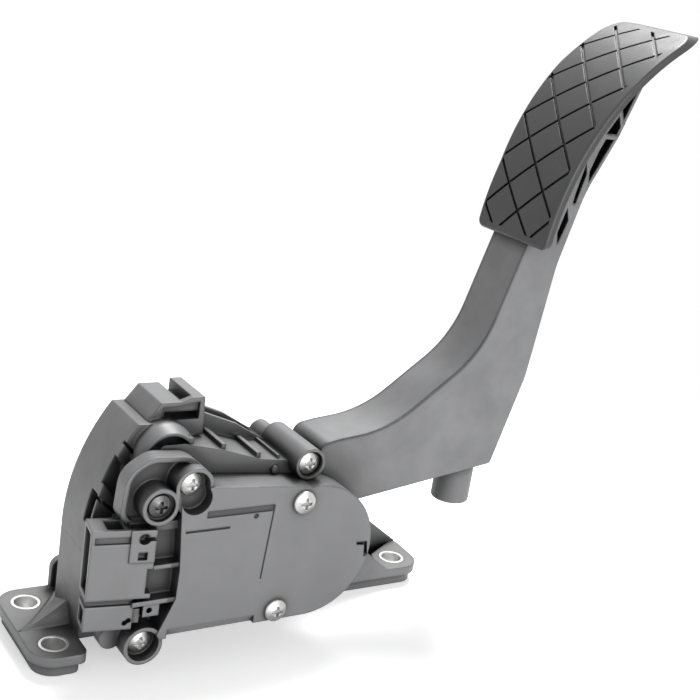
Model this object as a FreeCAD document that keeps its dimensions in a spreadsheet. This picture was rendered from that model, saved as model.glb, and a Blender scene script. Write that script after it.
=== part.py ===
import FreeCAD, Part
import math
import os
import Sketcher

# Accelerator pedal of a car: a moulded housing on three bolted feet, a sensor cover with a plug
# socket, and a pedal arm with a curved pad. X runs from the left feet towards the pedal, Y away
# from the viewer of the cover, Z up from the mounting face. The origin lies on that face,
# midway between the two left fixing holes.

doc = FreeCAD.newDocument("accelerator_pedal")
sheet = doc.addObject("Spreadsheet::Sheet", "sizes")

SIZES = {
    # feet and fixing holes
    "left_hole_spacing": 28.4,
    "right_hole_x": 148.2,
    "right_hole_y": 8.5,
    "foot_height": 7.5,
    "foot_margin": 3.9,
    "sleeve_bore": 8.0,
    "sleeve_wall": 1.0,
    "base_far_y": 23.5,
    "base_near_y": -0.7,
    "left_foot_reach": 8.8,
    "foot_step": 1.6,
    "foot_step_z": 4.0,
    # pivot and pedal travel
    "pivot_x": 82.0,
    "pivot_z": 38.7,
    "shaft_diameter": 10.0,
    "bush_wall": 2.0,
    "running_gap": 0.05,
    "side_gap": 0.3,
    "travel_angle": 17.0,
    # housing
    "wall": 2.7,
    "near_wall_y": -20.0,
    "far_wall_y": 11.0,
    "step_y": -12.0,
    "back_radius": 73.0,
    "step_depth": 7.0,
    "floor_z": 10.0,
    "roof_z": 81.3,
    "side_plate_radius": 23.6,
    "roof_step_y": -2.0,
    "boss_x": 80.7,
    "boss_z": 68.5,
    "boss_radius": 5.6,
    "boss_front_y": -26.0,
    "boss_far_y": 9.5,
    "dome_x": 31.8,
    "dome_z": 71.5,
    "dome_radius": 10.6,
    "dome_rim_radius": 8.8,
    "dome_front_y": -18.6,
    # sensor cover
    "cover_depth": 11.2,
    "seal_thickness": 0.8,
    "cover_skin": 2.0,
    "cover_end_radius": 24.2,
    "cover_left_x": 31.0,
    "cover_bottom_z": 14.0,
    "cover_top_z": 66.6,
    "groove_depth": 0.6,
    # plug socket
    "socket_turn": 9.0,
    "socket_back_x": 23.5,
    "socket_length": 20.6,
    "socket_band_z": 19.0,
    "socket_low_z": 30.0,
    "socket_high_z": 54.1,
    "socket_depth": 9.5,
    "socket_wall": 1.5,
    "socket_cavity_length": 14.0,
    "pin_pitch": 3.6,
    "pin_size": 0.8,
    # screws
    "boss_rim": 1.3,
    "screw_head_radius": 4.1,
    "screw_head_height": 2.2,
    "screw_radius": 2.0,
    "screw_length": 14.0,
    "screw_clearance": 0.2,
    "recess_depth": 1.4,
    # pedal arm
    "arm_centre_y": -7.0,
    "arm_width": 20.0,
    "arm_wall": 3.0,
    "hub_radius": 16.0,
    "heel_x": 167.4,
    "heel_z": 57.6,
    "knee_x": 153.5,
    "knee_z": 103.0,
    "stub_x": 159.0,
    "stub_radius": 7.3,
    "stub_low_z": 40.0,
    "stub_seat_z": 58.5,
    "stub_spigot_radius": 5.0,
    "stub_spigot_length": 7.0,
    "buffer_thickness": 3.0,
    # pad
    "pad_centre_x": 264.7,
    "pad_centre_z": 134.4,
    "pad_radius": 102.5,
    "pad_thickness": 2.8,
    "pad_near_y": -29.0,
    "pad_low_width": 39.7,
    "pad_high_width": 44.6,
    "pad_edge_radius": 1.1,
    "pad_low_angle": 174.6,
    "pad_high_angle": 118.6,
    "pad_corner_radius": 6.0,
    "tread_low_angle": 168.8,
    "tread_pitch_angle": 10.12,
    "tread_skew": 44.0,
    "tread_lean": 3.2,
    "tread_low_y": -9.2,
    "tread_width": 1.1,
    "tread_depth": 1.0,
    # return springs and friction shoe
    "lever_reach": 37.0,
    "nose_radius": 5.0,
    "seat_thickness": 3.0,
    "spring_top_z": 71.0,
    "outer_coil_radius": 8.0,
    "outer_wire": 1.8,
    "outer_turns": 5.5,
    "inner_coil_radius": 4.9,
    "inner_wire": 1.2,
    "inner_turns": 6.5,
    "shoe_thickness": 3.5,
    # sensor
    "rotor_radius": 11.0,
    "rotor_thickness": 1.8,
    "board_thickness": 1.6,
}

for row, (alias, number) in enumerate(SIZES.items(), start=1):
    sheet.set(f"A{row}", alias)
    sheet.set(f"B{row}", str(number))
    sheet.setAlias(f"B{row}", alias)
doc.recompute()


class Size:
    """A length or an angle that carries its number and the sheet formula it comes from."""

    def __init__(self, number, formula=None):
        self.number = float(number)
        self.formula = f"{self.number:.6f}" if formula is None else formula

    def combine(self, other, sign, number):
        return Size(number, f"({self.formula} {sign} {size(other).formula})")

    def __add__(self, other):
        return self.combine(other, "+", self.number + size(other).number)

    def __sub__(self, other):
        return self.combine(other, "-", self.number - size(other).number)

    def __mul__(self, other):
        return self.combine(other, "*", self.number * size(other).number)

    def __truediv__(self, other):
        return self.combine(other, "/", self.number / size(other).number)

    def __neg__(self):
        return Size(0) - self

    __radd__ = __add__
    __rmul__ = __mul__

    def __rsub__(self, other):
        return size(other) - self


def size(value):
    return value if isinstance(value, Size) else Size(value)


def sine(angle):
    return Size(math.sin(math.radians(angle.number)), f"sin({angle.formula})")


def cosine(angle):
    return Size(math.cos(math.radians(angle.number)), f"cos({angle.formula})")


class Sheet:
    """Driving dimensions by name."""

    def __getattr__(self, alias):
        return Size(SIZES[alias], f"sizes.{alias}")


d = Sheet()


def bind(obj, prop, value):
    """Set a property from the sheet and keep it bound there."""
    obj.setExpression(prop, size(value).formula)


def place(obj, x, y, z):
    for axis, value in zip("xyz", (x, y, z)):
        bind(obj, f"Placement.Base.{axis}", value)


TOWARDS_VIEWER = FreeCAD.Rotation(FreeCAD.Vector(1, 0, 0), 90)
UPRIGHT = FreeCAD.Vector(0, 0, 1)
FACING_X = FreeCAD.Rotation(FreeCAD.Vector(1, 1, 1), 120)
ARCS_PER_TURN = 6


def rounded_corners(corners):
    """Lines and arcs of a closed outline whose corners are (x, y, fillet radius)."""
    points = [FreeCAD.Vector(size(c[0]).number, size(c[1]).number, 0) for c in corners]
    radii = [size(c[2]).number if len(c) > 2 else 0.0 for c in corners]
    entries, exits, arcs = [], [], []
    for i, corner in enumerate(points):
        back = (points[i - 1] - corner).normalize()
        ahead = (points[(i + 1) % len(points)] - corner).normalize()
        if radii[i] == 0:
            entries.append(corner)
            exits.append(corner)
            arcs.append(None)
            continue
        half = back.getAngle(ahead) / 2
        reach = radii[i] / math.tan(half)
        middle = corner + (back + ahead).normalize() * (radii[i] / math.sin(half))
        entries.append(corner + back * reach)
        exits.append(corner + ahead * reach)
        arcs.append(middle)
    return points, radii, entries, exits, arcs


def outline(name, corners):
    """Sketch of a closed outline, every corner and radius bound to the sheet."""
    points, radii, entries, exits, arcs = rounded_corners(corners)
    sketch = doc.addObject("Sketcher::SketchObject", name)
    count = len(points)
    lines = []
    for i in range(count):
        lines.append(sketch.addGeometry(Part.LineSegment(exits[i], entries[(i + 1) % count])))
    for i, corner in enumerate(corners):
        into, out = lines[i - 1], lines[i]
        if radii[i] == 0:
            sketch.addConstraint(Sketcher.Constraint("Coincident", into, 2, out, 1))
            mark, position = out, 1
        else:
            start = (entries[i] - arcs[i]).normalize()
            end = (exits[i] - arcs[i]).normalize()
            first = math.atan2(start.y, start.x)
            last = math.atan2(end.y, end.x)
            left_turn = start.cross(end).z > 0
            if not left_turn:
                first, last = last, first
            circle = Part.Circle(arcs[i], UPRIGHT, radii[i])
            arc = sketch.addGeometry(Part.ArcOfCircle(circle, first, last))
            begin, finish = (1, 2) if left_turn else (2, 1)
            sketch.addConstraint(Sketcher.Constraint("Tangent", into, 2, arc, begin))
            sketch.addConstraint(Sketcher.Constraint("Tangent", arc, finish, out, 1))
            radius = sketch.addConstraint(Sketcher.Constraint("Radius", arc, radii[i]))
            bind(sketch, f"Constraints[{radius}]", corner[2])
            mark = sketch.addGeometry(Part.Point(points[i]), True)
            position = 1
            sketch.addConstraint(Sketcher.Constraint("PointOnObject", mark, 1, into))
            sketch.addConstraint(Sketcher.Constraint("PointOnObject", mark, 1, out))
        for kind, value in (("DistanceX", corner[0]), ("DistanceY", corner[1])):
            number = size(value).number
            where = sketch.addConstraint(Sketcher.Constraint(kind, -1, 1, mark, position, number))
            bind(sketch, f"Constraints[{where}]", value)
    return sketch


def extrude(name, sketch, length):
    solid = doc.addObject("Part::Extrusion", name)
    solid.Base = sketch
    solid.DirMode = "Normal"
    solid.Solid = True
    bind(solid, "LengthFwd", length)
    return solid


def prism_y(name, corners, y_far, y_near):
    """Solid with an X-Z outline, from its far side towards the viewer."""
    sketch = outline(name + "_outline", corners)
    sketch.Placement = FreeCAD.Placement(FreeCAD.Vector(), TOWARDS_VIEWER)
    place(sketch, 0, y_far, 0)
    return extrude(name, sketch, size(y_far) - y_near)


def prism_z(name, corners, z_low, z_high):
    """Solid with an X-Y outline, upwards from its lower side."""
    sketch = outline(name + "_outline", corners)
    place(sketch, 0, 0, z_low)
    return extrude(name, sketch, size(z_high) - z_low)


def prism_x(name, corners, x_low, x_high):
    """Solid with a Y-Z outline, in the +X direction."""
    sketch = outline(name + "_outline", corners)
    sketch.Placement = FreeCAD.Placement(FreeCAD.Vector(), FACING_X)
    place(sketch, x_low, 0, 0)
    return extrude(name, sketch, size(x_high) - x_low)


def rod(name, radius, length, rotation, x, y, z):
    solid = doc.addObject("Part::Cylinder", name)
    bind(solid, "Radius", radius)
    bind(solid, "Height", length)
    solid.Placement = FreeCAD.Placement(FreeCAD.Vector(), rotation)
    place(solid, x, y, z)
    return solid


def rod_y(name, radius, x, z, y_far, y_near):
    return rod(name, radius, size(y_far) - y_near, TOWARDS_VIEWER, x, y_far, z)


def rod_z(name, radius, x, y, z_low, z_high):
    return rod(name, radius, size(z_high) - z_low, FreeCAD.Rotation(), x, y, z_low)


def socket_block(name, a_low, a_high, b_low, b_high, z_low, z_high):
    """Box in the socket's turned frame: a runs from its mouth to its back, b away from the viewer."""
    solid = doc.addObject("Part::Box", name)
    bind(solid, "Length", size(a_high) - a_low)
    bind(solid, "Width", size(b_high) - b_low)
    bind(solid, "Height", size(z_high) - z_low)
    turn = FreeCAD.Rotation(UPRIGHT, -d.socket_turn.number)
    solid.Placement = FreeCAD.Placement(FreeCAD.Vector(), turn)
    along, across = cosine(d.socket_turn), sine(d.socket_turn)
    x = d.socket_back_x + a_low * along + b_low * across
    y = cover_front_y - a_low * across + b_low * along
    place(solid, x, y, z_low)
    return solid


def block(name, x_low, x_high, y_low, y_high, z_low, z_high):
    solid = doc.addObject("Part::Box", name)
    bind(solid, "Length", size(x_high) - x_low)
    bind(solid, "Width", size(y_high) - y_low)
    bind(solid, "Height", size(z_high) - z_low)
    place(solid, x_low, y_low, z_low)
    return solid


def fuse(name, solids):
    union = doc.addObject("Part::MultiFuse", name)
    union.Shapes = solids
    union.Refine = True
    return union


def cut(name, base, tools):
    rest = doc.addObject("Part::Cut", name)
    rest.Base = base
    rest.Tool = tools[0] if len(tools) == 1 else fuse(name + "_tools", tools)
    rest.Refine = True
    return rest


def common(name, first, second):
    shared = doc.addObject("Part::MultiCommon", name)
    shared.Shapes = [first, second]
    shared.Refine = True
    return shared


# Places worked out from the driving dimensions
hole_reach = d.left_hole_spacing / 2
sleeve_radius = d.sleeve_bore / 2 + d.sleeve_wall
ear_radius = sleeve_radius + d.foot_margin
holes = {
    "left_far": (size(0), hole_reach),
    "left_near": (size(0), -hole_reach),
    "right": (d.right_hole_x, d.right_hole_y),
}
near_inner_y = d.near_wall_y + d.wall
far_inner_y = d.far_wall_y - d.wall
cover_back_y = d.near_wall_y - d.seal_thickness
cover_front_y = cover_back_y - d.cover_depth
board_near_y = cover_front_y + 6.4
board_far_y = board_near_y + d.board_thickness
shaft_radius = d.shaft_diameter / 2
bush_radius = shaft_radius + d.bush_wall
arm_near_y = d.arm_centre_y - d.arm_width / 2
arm_far_y = d.arm_centre_y + d.arm_width / 2
hub_near_y = near_inner_y + d.side_gap
hub_far_y = far_inner_y - d.side_gap
half_travel = d.travel_angle / 2
shoe_radius = d.back_radius - d.wall - d.side_gap
tail_near_y = d.step_y + d.wall + d.side_gap
nose_x = d.pivot_x - d.lever_reach * cosine(half_travel)
nose_z = d.pivot_z - d.lever_reach * sine(half_travel)
seat_low_z = nose_z + d.nose_radius + d.side_gap
seat_high_z = seat_low_z + d.seat_thickness
pad_back_radius = d.pad_radius - d.pad_thickness
neck_x = d.pad_centre_x + pad_back_radius * cosine(d.pad_low_angle)
neck_z = d.pad_centre_z + pad_back_radius * sine(d.pad_low_angle)

# Screws: x, z, where the head seats in Y
SCREWS = {
    "cover_screw_outer_left": (size(24.2), size(61.2), cover_front_y + 2.4),
    "cover_screw_upper_left": (size(35.3), size(66.9), cover_front_y + 4.6),
    "cover_screw_upper_right": (size(76.2), size(57.9), cover_front_y),
    "cover_screw_lower_right": (size(70.9), size(18.2), cover_front_y),
    "cover_screw_lower_left": (size(23.4), size(12.2), cover_front_y + 4.8),
    "housing_boss_screw": (d.boss_x, d.boss_z, d.boss_front_y + 2.5),
}


# Radius of the counterbore round each sunk screw of the cover
COUNTERBORES = {
    "cover_screw_outer_left": size(4.9),
    "cover_screw_upper_left": size(5.3),
    "cover_screw_lower_left": size(5.4),
}


def screw_tip_y(name):
    seat = SCREWS[name][2]
    if name == "housing_boss_screw":
        return seat + d.screw_length
    return near_inner_y - 0.3


def at_pivot(radius, angle):
    """X and Z of a point at a radius and an angle above the +X direction from the pivot."""
    return d.pivot_x + radius * cosine(angle), d.pivot_z + radius * sine(angle)


def screw_hole(name, radius, y_far, y_near, label):
    x, z, _ = SCREWS[name]
    return rod_y(label, radius, x, z, y_far, y_near)


def housing_body():
    """Shell round the springs and the hub, open on the pedal side, its roof lower on the near side."""
    x, z = d.pivot_x, d.pivot_z
    lower = [
        (size(2), d.floor_z),
        (x - 20, d.floor_z),
        (x + 2, z - d.side_plate_radius + 0.2),
        (x + 8, z),
        (d.boss_x + 5, d.boss_z - 3),
        (d.boss_x - 5, d.boss_z - 0.5),
    ]
    top = d.roof_z
    high_roof = lower + [(size(64), size(74.8)), (size(48), top - 0.4), (size(27), top), (size(2), top)]
    low_roof = lower + [(size(64.2), size(69.4)), (size(50.5), size(73.7)), (size(36), size(77))]
    stepped_roof = low_roof + [(size(36), top), (size(2), top)]
    flat_roof = low_roof + [(size(2), size(77))]
    near_radius = d.back_radius - d.step_depth
    layers = [
        ("far", high_roof, d.back_radius, d.far_wall_y, d.roof_step_y),
        ("middle", stepped_roof, d.back_radius, d.roof_step_y, d.step_y),
        ("near", flat_roof, near_radius, d.step_y, d.near_wall_y),
    ]
    solids = []
    for name, profile, radius, y_far, y_near in layers:
        layer = prism_y(f"housing_{name}_outline", profile, y_far, y_near)
        sweep = rod_y(f"housing_{name}_sweep", radius, x, z, y_far, y_near)
        solids.append(common(f"housing_{name}_part", layer, sweep))
    plates = rod_y("housing_side_plates", d.side_plate_radius, x, z, d.far_wall_y, d.near_wall_y)
    return solids + [plates]


def roof_dome():
    """Round-topped end of the roof over the cover's kidney, drawn in towards its rim."""
    length = d.roof_step_y - d.dome_front_y
    radius = d.dome_radius
    profile = [(0, 0), (radius, 0), (radius, length - 5, 5), (d.dome_rim_radius, length), (0, length)]
    dome = revolved("roof_dome", profile)
    dome.Placement = FreeCAD.Placement(FreeCAD.Vector(), TOWARDS_VIEWER)
    place(dome, d.dome_x, d.roof_step_y, d.dome_z)
    return dome


def dome_hollow():
    """Arched hollow in the front of the dome."""
    front = d.dome_front_y
    bore = rod_y("dome_bore", d.dome_rim_radius - 0.8, d.dome_x, d.dome_z, front + 6, front - 1)
    low, high = d.spring_top_z + 2, d.dome_z + d.dome_radius
    left, right = d.dome_x - d.dome_radius, d.dome_x + d.dome_radius
    above = block("dome_bore_span", left, right, front - 2, front + 7, low, high)
    return common("dome_hollow", bore, above)


def housing_cavity():
    """Room for the lever and the springs, and the mouth for the arm."""
    x, z = d.pivot_x, d.pivot_z
    profile = [
        (size(2), d.floor_z + d.wall),
        (x - 20, d.floor_z + d.wall),
        (x + 1, z - d.side_plate_radius + d.wall + 0.4, 3),
        (x + 17, z - 12, 5),
        (x + 40, z - 12),
        (x + 40, z + d.side_plate_radius + 1),
        (d.boss_x + 4, d.boss_z - 3),
        (d.boss_x - 8, d.boss_z - 3.5),
        (size(62.5), size(67)),
        (size(55.3), d.spring_top_z),
        (size(2), d.spring_top_z),
    ]
    inner_radius = d.back_radius - d.wall
    step_inner_y = d.step_y + d.wall
    deep_room = prism_y("cavity_outline", profile, far_inner_y, step_inner_y)
    deep_bound = rod_y("cavity_bound", inner_radius, x, z, far_inner_y, step_inner_y)
    near_room = prism_y("cavity_near_outline", profile, step_inner_y, near_inner_y)
    near_bound = rod_y("cavity_bound_near", inner_radius - d.step_depth, x, z, step_inner_y, near_inner_y)
    deep = common("cavity_deep", deep_room, deep_bound)
    shallow = common("cavity_shallow", near_room, near_bound)
    return fuse("housing_cavity", [deep, shallow])


def flange_plate(name, inset, z_low, z_high):
    """One layer of the flange, its outline set in from the upper layer's."""
    ear = ear_radius - inset
    near, far = -hole_reach - ear, d.base_far_y - inset
    right = d.right_hole_x + ear
    corners = [
        (-ear, near, ear - 0.1),
        (d.left_foot_reach - inset, near, 3),
        (d.left_foot_reach - inset, d.base_near_y + inset, 2),
        (right, d.base_near_y + inset, ear - 0.3),
        (right + 1.2, far, 5),
        (-ear, far, ear - 0.1),
    ]
    return prism_z(name, corners, z_low, z_high)


def housing_base():
    """Flange with three ears, its far rim wall and the gussets of the right foot."""
    flange = flange_plate("base_flange_upper", size(0), d.foot_step_z, d.foot_height)
    sole = flange_plate("base_flange_sole", d.foot_step, 0, d.foot_step_z)
    step_end = d.right_hole_x + ear_radius + 0.4
    rim = prism_y(
        "far_rim_wall",
        [
            (size(11), d.foot_height - 1),
            (size(11), size(18), 4),
            (size(40), size(27)),
            (size(118), size(37)),
            (step_end, d.foot_height + 0.4),
            (step_end, d.foot_height - 1),
        ],
        d.base_far_y,
        d.base_far_y - d.wall,
    )
    gusset = prism_y(
        "near_gusset",
        [
            (size(62), d.foot_height - 1),
            (size(62), size(14)),
            (size(104), size(32)),
            (size(110), size(32)),
            (d.right_hole_x - 8, d.foot_height),
            (d.right_hole_x - 8, d.foot_height - 1),
        ],
        d.base_near_y + d.wall,
        d.base_near_y,
    )
    root_z = d.foot_height - 1
    far_foot = block("far_wall_foot", 14, 100, d.base_near_y, d.far_wall_y, root_z, d.floor_z + 1)
    back_x = d.pivot_x - d.back_radius
    back_root = block("back_wall_root", back_x, back_x + 12, d.step_y, d.far_wall_y, root_z, d.pivot_z - 2)
    ribs = []
    for i in range(4):
        rib_x = size(30) + i * 27
        near, far = d.far_wall_y - 1, d.base_far_y - 1
        ribs.append(block(f"far_rib_{i}", rib_x, rib_x + 2.5, near, far, root_z, 27))
    return [flange, sole, rim, gusset, far_foot, back_root] + ribs


def base_pockets():
    """Core-outs under the flange and the open pocket at the root of the right foot."""
    pockets = []
    for i in range(5):
        left = size(16) + i * 21
        low, high = d.base_near_y + 3, d.base_far_y - 4
        pockets.append(block(f"flange_pocket_{i}", left, left + 18, low, high, -1, d.foot_height - 3))
    root = prism_z(
        "foot_root_pocket",
        [
            (size(122), d.base_near_y + d.wall, 1),
            (d.right_hole_x - 12, d.base_near_y + d.wall, 1),
            (d.right_hole_x - 7, d.right_hole_y + 4, 2),
            (d.right_hole_x + 7, d.base_far_y - d.wall, 0),
            (size(122), d.base_far_y - d.wall, 1),
        ],
        2.5,
        d.foot_height + 2,
    )
    return pockets + [root]


def clip_block():
    """Locating block on top of the roof, with a slot along it that its near wall closes."""
    top = d.roof_z
    body = prism_y(
        "clip_block_body",
        [
            (size(26.8), top - 2),
            (size(26.8), top + 0.4),
            (size(31.1), top + 5.9),
            (size(38.5), top + 5.9),
            (size(42.4), top + 7.3),
            (size(46.6), top + 7.3),
            (size(47.2), top - 6),
            (size(34), top - 6),
        ],
        10,
        -9.4,
    )
    slot = block("clip_slot", 38.5, 42.4, -7, 11, top + 3, top + 8)
    mouth = prism_y(
        "clip_mouth",
        [
            (size(31.4), top + 0.8),
            (size(31.8), top + 4.3),
            (size(37.5), top + 4.6),
            (size(45), top + 5.8),
            (size(45), top + 0.2),
        ],
        -8,
        -10,
    )
    hollow = block("clip_hollow", 33, 45, -10, -2, top - 0.2, top + 2.2)
    return cut("clip_block", body, [slot, mouth, hollow])


# Ribs across the low side of the roof: left side in X, top, width
ROOF_TABS = [(38.0, 78.2, 1.5), (49.8, 75.4, 1.6), (63.4, 71.2, 1.6), (71.6, 69.6, 0.9)]


def roof_tabs():
    """Standing ribs across the low side of the roof, and the peg below them."""
    tabs = []
    for i, (x, z, width) in enumerate(ROOF_TABS):
        tabs.append(block(f"roof_tab_{i}", x, x + width, d.dome_front_y, d.roof_step_y + 1, z - 6, z))
    tabs.append(rod_y("roof_peg", 1.3, 69.8, 65.6, d.near_wall_y + 1, d.near_wall_y - 1.6))
    return tabs


def roof_trough():
    """Trough between the roof's ridge and its far wall."""
    corners = [(50, 83), (50, 77), (64, 71.6), (73.5, 66.6), (80, 76)]
    profile = [(size(x), size(z)) for x, z in corners]
    return prism_y("roof_trough", profile, far_inner_y, d.roof_step_y + 2.2)


def wall_recesses():
    """Pocket and two slits on the step of the back wall."""
    outlines = {
        "step_pocket": [(12.2, 62.4), (16.2, 71.4), (19.3, 67), (18.2, 55.7)],
        "step_slit_low": [(10, 57.4), (18.4, 50.1), (19.2, 50.9), (10, 58.8)],
        "step_slit_high": [(16.6, 76.9), (23.2, 69.5), (24, 70.3), (17, 78)],
    }
    recesses = []
    for name, corners in outlines.items():
        recesses.append(prism_y(name, [(size(x), size(z)) for x, z in corners], d.step_y + 2, d.step_y - 1))
    return recesses


def cross_boss(name):
    """Boss across the housing that carries its screw and stops the arm at rest, thinner at its far end."""
    x, z, radius = d.boss_x, d.boss_z, d.boss_radius
    near = rod_y(name + "_near", radius, x, z, d.roof_step_y + 1.5, d.boss_front_y)
    far = rod_y(name + "_far", radius - 1.4, x - 1, z - 1.5, d.boss_far_y, d.roof_step_y)
    return [near, far]


def make_housing():
    solids = housing_body() + housing_base() + roof_tabs()
    solids.append(clip_block())
    solids += cross_boss("boss_outside")
    solids.append(roof_dome())
    shell = cut("housing_shell", fuse("housing_solid", solids), [housing_cavity()])
    whole = fuse("housing_filled", [shell] + cross_boss("boss_inside"))
    tools = base_pockets() + wall_recesses() + [dome_hollow(), roof_trough()]
    for name, (x, y) in holes.items():
        tools.append(rod_z(f"sleeve_seat_{name}", sleeve_radius, x, y, -1, d.foot_height + 1))
    far, near = d.far_wall_y + 1, d.near_wall_y - 1
    tools.append(rod_y("bush_seats", bush_radius, d.pivot_x, d.pivot_z, far, near))
    for name, (x, z, seat) in SCREWS.items():
        if name == "housing_boss_screw":
            tip = screw_tip_y(name)
            tools.append(rod_y("boss_pilot", d.screw_radius, d.boss_x, d.boss_z, tip, d.boss_front_y - 1))
            head = d.screw_head_radius + 0.5
            tools.append(rod_y("boss_counterbore", head, d.boss_x, d.boss_z, seat, d.boss_front_y - 1))
        else:
            tools.append(rod_y(f"pilot_{name}", d.screw_radius, x, z, near_inner_y + 1, d.near_wall_y - 9))
    tools.append(block("wall_window", 8, 13.5, -11, -6, 47, 58))
    return cut("pedal_housing", whole, tools)


buffer_near_x = d.boss_x + d.boss_radius + d.side_gap
shoulder_x = buffer_near_x + d.buffer_thickness


def make_arm():
    """Pedal arm: hub, rear lever with its nose, and the bent beam up to the pad."""
    upper = [
        (shoulder_x, d.pivot_z + 2),
        (shoulder_x, d.boss_z + 2.8, 4.5),
        (shoulder_x + 8.4, size(72.9), 12),
        (size(117.5), size(75.2), 45),
        (d.knee_x, d.knee_z, 40),
        (neck_x, neck_z, 0),
        (neck_x + 2, neck_z + 30, 0),
        (size(209), size(209), 0),
        (size(206.2), size(204.5), 4),
        (size(198.6), size(184), 30),
        (size(188), size(163), 40),
        (size(181.2), size(136), 40),
        (size(176.6), size(92), 20),
        (d.heel_x, d.heel_z, 1.5),
        (size(98), size(47.1), 0),
        (size(98), d.pivot_z + 2, 0),
    ]
    beam = prism_y("arm_beam", upper, arm_far_y, arm_near_y)
    x, z = d.pad_centre_x, d.pad_centre_z
    pad_bed = rod_y("pad_bed", pad_back_radius, x, z, arm_far_y + 5, arm_near_y - 5)
    over_pad = prism_y(
        "arm_above_neck",
        [(size(150), neck_z), (size(150), size(240)), (size(260), size(240)), (size(260), neck_z)],
        arm_far_y + 2,
        arm_near_y - 2,
    )
    trimmed = cut("arm_over_pad_tool", over_pad, [pad_bed])
    beam = cut("arm_trimmed", beam, [trimmed])
    hub = rod_y("arm_hub", d.hub_radius, d.pivot_x, d.pivot_z, hub_far_y, hub_near_y)
    lever = prism_y(
        "arm_lever",
        [
            (d.pivot_x, d.pivot_z + 12, 0),
            (d.pivot_x - 22, nose_z + 2, 4),
            (nose_x, nose_z + 1, 0),
            (d.pivot_x - d.back_radius + 6, nose_z + 3, 0),
            (d.pivot_x - d.back_radius + 6, nose_z - 6, 0),
            (nose_x, nose_z - 8, 10),
            (d.pivot_x, d.pivot_z - 14, 0),
        ],
        arm_far_y - 2,
        arm_near_y + 2.6,
    )
    x, z = d.pivot_x, d.pivot_z
    reach = rod_y("lever_reach", shoe_radius - d.shoe_thickness, x, z, arm_far_y, tail_near_y)
    near_reach = rod_y("lever_near_reach", shoe_radius - d.step_depth, x, z, tail_near_y, arm_near_y)
    lever = common("arm_lever_bounded", lever, fuse("lever_reaches", [reach, near_reach]))
    nose = rod_y("arm_nose", d.nose_radius, nose_x, nose_z, arm_far_y - 2, arm_near_y + 2.6)
    whole = fuse("arm_whole", [beam, hub, lever, nose])
    bore = rod_y("hub_bore", shaft_radius, d.pivot_x, d.pivot_z, hub_far_y + 1, hub_near_y - 1)
    top = d.stub_seat_z + d.stub_spigot_length
    stub_seat = rod_z("stub_seat", d.stub_radius, d.stub_x, d.arm_centre_y, d.stub_low_z, d.stub_seat_z)
    stub_hole = rod_z("stub_socket", d.stub_spigot_radius, d.stub_x, d.arm_centre_y, d.stub_seat_z - 1, top)
    return cut("pedal_arm", whole, [bore, stub_seat, stub_hole] + arm_channels() + pad_pockets())


def arm_channels():
    """Ribbed channel open at the back of the beam."""
    low_y, high_y = arm_near_y + d.arm_wall, arm_far_y - d.arm_wall
    cells = [
        [(104, 44), (104, 66), (122, 70.5), (122, 44)],
        [(125, 44), (125, 72.5), (145.5, 88), (145.5, 44)],
        [(170.5, 62), (150.5, 84), (158.5, 97), (190, 90), (190, 62)],
        [(190, 94), (159.5, 101), (165.5, 116), (190, 116)],
        [(190, 119.5), (167, 119.5), (170.5, 136), (190, 136)],
    ]
    tools = []
    for i, cell in enumerate(cells):
        corners = [(size(x), size(z)) for x, z in cell]
        tools.append(prism_y(f"arm_channel_{i}", corners, high_y, low_y))
    return tools


def pad_pockets():
    """Side pockets of the ribbed backing behind the pad, on both sides of a middle web."""
    cells = [
        [(178.4, 148.4), (179.4, 143.7), (182.6, 153), (181, 157.8)],
        [(183, 159.4), (184.4, 159.4), (187, 170.3), (185.9, 174.6), (183.4, 163)],
        [(188.9, 165), (206, 165), (206, 183.6), (192.9, 183.6), (190.6, 179), (188.1, 171.5)],
        [(192.6, 185.6), (198.8, 185.6), (198.9, 188.3), (197.3, 192.6)],
        [(198.1, 194.6), (200.1, 190), (215, 190), (215, 206), (206, 204.6)],
    ]
    tools = []
    depth = (d.arm_width - d.arm_wall) / 2
    for i, cell in enumerate(cells):
        corners = [(size(x), size(z)) for x, z in cell]
        tools.append(prism_y(f"near_pocket_{i}", corners, arm_near_y + depth, arm_near_y - 1))
        tools.append(prism_y(f"far_pocket_{i}", corners, arm_far_y + 1, arm_far_y - depth))
    return tools


def pad_sector(name, outer, inner, y_far, y_near, low_angle, high_angle):
    """Part of a curved plate between two radii and two angles round the pad's centre."""
    x, z = d.pad_centre_x, d.pad_centre_z
    plate = rod_y(name + "_outer", outer, x, z, y_far, y_near)
    core = rod_y(name + "_inner", inner, x, z, size(y_far) + 1, size(y_near) - 1)
    ring = cut(name + "_ring", plate, [core])
    reach = d.pad_radius * 1.5
    wedge = prism_y(
        name + "_wedge",
        [
            (x, z),
            (x + reach * cosine(low_angle), z + reach * sine(low_angle)),
            (x + reach * cosine(high_angle), z + reach * sine(high_angle)),
        ],
        size(y_far) + 2,
        size(y_near) - 2,
    )
    return common(name, ring, wedge)


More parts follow.
